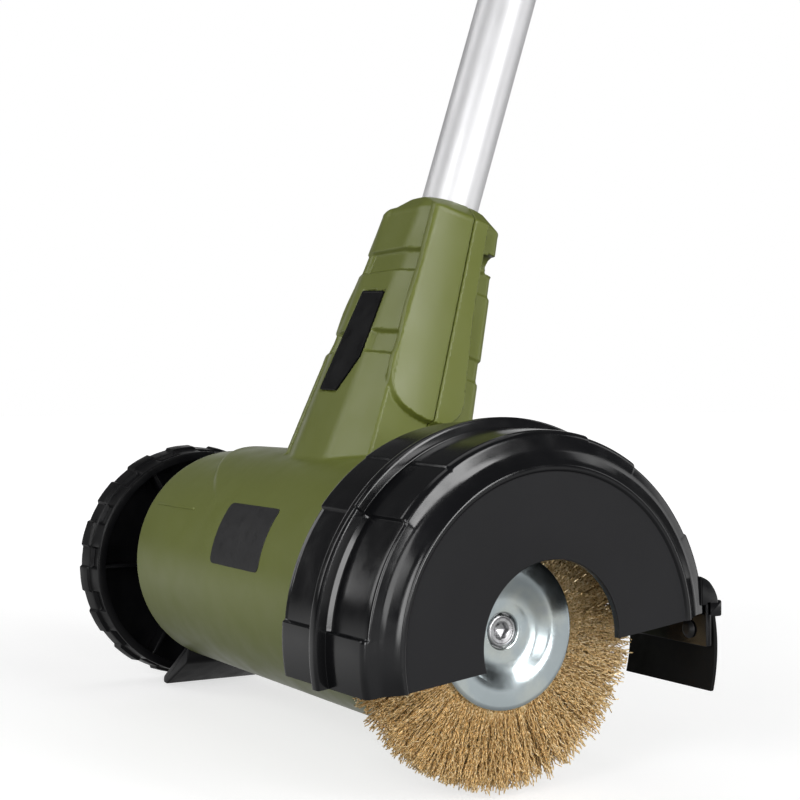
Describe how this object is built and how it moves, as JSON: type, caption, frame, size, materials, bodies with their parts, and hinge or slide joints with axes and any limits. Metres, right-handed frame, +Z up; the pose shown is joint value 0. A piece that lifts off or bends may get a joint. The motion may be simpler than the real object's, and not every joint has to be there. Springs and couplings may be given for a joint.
{
  "type": "electric weed brush",
  "caption": "Corded weed brush: a wire wheel brush in a half guard on a geared motor head with a guide wheel, on a telescopic pole with loop handle and tilting front handle.",
  "frame": {"origin": "centre of the hand grip, in the top bar of the loop handle, on the pole's centre plane", "axes": "+Z up with the pole leaning at its working angle, +Y along the brush spindle from the brush towards the guide wheel, +X towards the user"},
  "size_m": [0.53, 0.3174, 1.1168],
  "materials": {
    "olive_plastic": "moulded, fine grain, satin",
    "black_gloss": "moulded, glossy",
    "black_plastic": "moulded, satin",
    "rubber": "soft, matt",
    "zinc_steel": "zinc plated",
    "steel": "turned",
    "brass_wire": "crimped brassed wire",
    "brass": "pressed sheet",
    "bronze": "sintered",
    "copper": "turned",
    "enamel_wire": "enamelled winding",
    "lamination": "stacked sheet",
    "carbon": "pressed carbon",
    "cast_alloy": "die cast",
    "nylon": "moulded, natural",
    "anodised_tube": "satin anodised",
    "label_film": "printed film",
    "cable_sheath": "extruded",
    "red_plastic": "moulded"
  },
  "bodies": {
    "handle": {"upper_tube": "anodised_tube", "handle_left_shell": "olive_plastic", "handle_right_shell": "olive_plastic", "switch_body": "black_plastic", "cord_gland": "rubber", "handle_screw_1": "steel", "handle_screw_2": "steel", "aux_clamp": "black_plastic"},
    "head": {"housing_front_shell": "olive_plastic", "housing_rear_shell": "olive_plastic", "name_plate": "black_plastic", "rating_label": "label_film", "gearbox_plate": "cast_alloy", "stator_core": "lamination", "field_coil_upper": "enamel_wire", "field_coil_lower": "enamel_wire", "rotor_bearing_front": "steel", "rotor_bearing_rear": "steel", "brush_holder_front": "brass", "brush_holder_rear": "brass", "carbon_brush_front": "carbon", "carbon_brush_rear": "carbon", "spindle_bearing_front": "steel", "spindle_bush_rear": "bronze", "case_screw_1": "steel", "case_screw_2": "steel", "case_screw_3": "steel", "case_screw_4": "steel", "guard": "black_gloss", "guard_screw_1": "steel", "guard_screw_2": "steel", "debris_flap": "rubber", "flap_rivet_1": "steel", "flap_rivet_2": "steel", "wheel_carrier": "black_plastic", "carrier_screw_1": "steel", "carrier_screw_2": "steel", "wheel_axle": "steel", "lower_tube": "anodised_tube", "internal_lead": "cable_sheath"},
    "brush": {"spindle": "steel", "output_gear": "steel", "brush_bush": "steel", "brush_disc_outer": "zinc_steel", "brush_disc_inner": "zinc_steel", "brush_wires": "brass_wire", "arbor_screw": "zinc_steel"},
    "rotor": {"rotor_shaft": "steel", "armature_core": "lamination", "armature_winding": "enamel_wire", "commutator": "copper", "cooling_fan": "nylon"},
    "wheel": {"guide_wheel": "black_plastic", "wheel_cap": "black_gloss"},
    "lock_collar": {"lock_collar": "black_plastic"},
    "aux_handle": {"aux_bow": "black_plastic", "aux_grip": "rubber"},
    "aux_knob": {"aux_knob": "black_plastic"},
    "trigger": {"trigger": "red_plastic"},
    "lock_button": {"lock_button": "red_plastic"}
  },
  "joints": [
    {"name": "telescope", "type": "slide", "parent": "handle", "child": "head", "axis": [0.3057, 0, 0.9521], "range_m": [-0.1, 0.14]},
    {"name": "collar_twist", "type": "hinge", "parent": "handle", "child": "lock_collar", "pos_m": [-0.16567, 0, -0.45584], "axis": [0.3057, 0, 0.9521], "range_deg": [0, 90]},
    {"name": "aux_tilt", "type": "hinge", "parent": "handle", "child": "aux_handle", "pos_m": [-0.13293, 0, -0.24264], "axis": [0, 1, 0], "range_deg": [-60, 20]},
    {"name": "knob_turn", "type": "hinge", "parent": "handle", "child": "aux_knob", "pos_m": [-0.13293, 0, -0.24264], "axis": [0, 1, 0], "range_deg": [-180, 180]},
    {"name": "trigger_pull", "type": "hinge", "parent": "handle", "child": "trigger", "pos_m": [-0.02329, 0, -0.02359], "axis": [0, -1, 0], "range_deg": [0, 9], "stiffness_Nm_per_rad": 0.8, "springref_deg": -14.32},
    {"name": "lock_button_press", "type": "slide", "parent": "handle", "child": "lock_button", "axis": [0, -1, 0], "range_m": [0, 0.004], "stiffness_N_per_m": 600, "springref_m": -0.003},
    {"name": "brush_spin", "type": "hinge", "parent": "head", "child": "brush", "pos_m": [-0.34878, -0.118, -1.03316], "axis": [0, 1, 0], "continuous": true},
    {"name": "rotor_spin", "type": "hinge", "parent": "head", "child": "rotor", "pos_m": [-0.34416, -0.118, -1.01178], "axis": [0, 1, 0], "continuous": true},
    {"name": "wheel_spin", "type": "hinge", "parent": "head", "child": "wheel", "pos_m": [-0.34878, 0.1693, -1.03316], "axis": [0, 1, 0], "continuous": true}
  ],
  "couplings": [
    {"joint": "rotor_spin", "follows": "brush_spin", "ratio": -4}
  ]
}
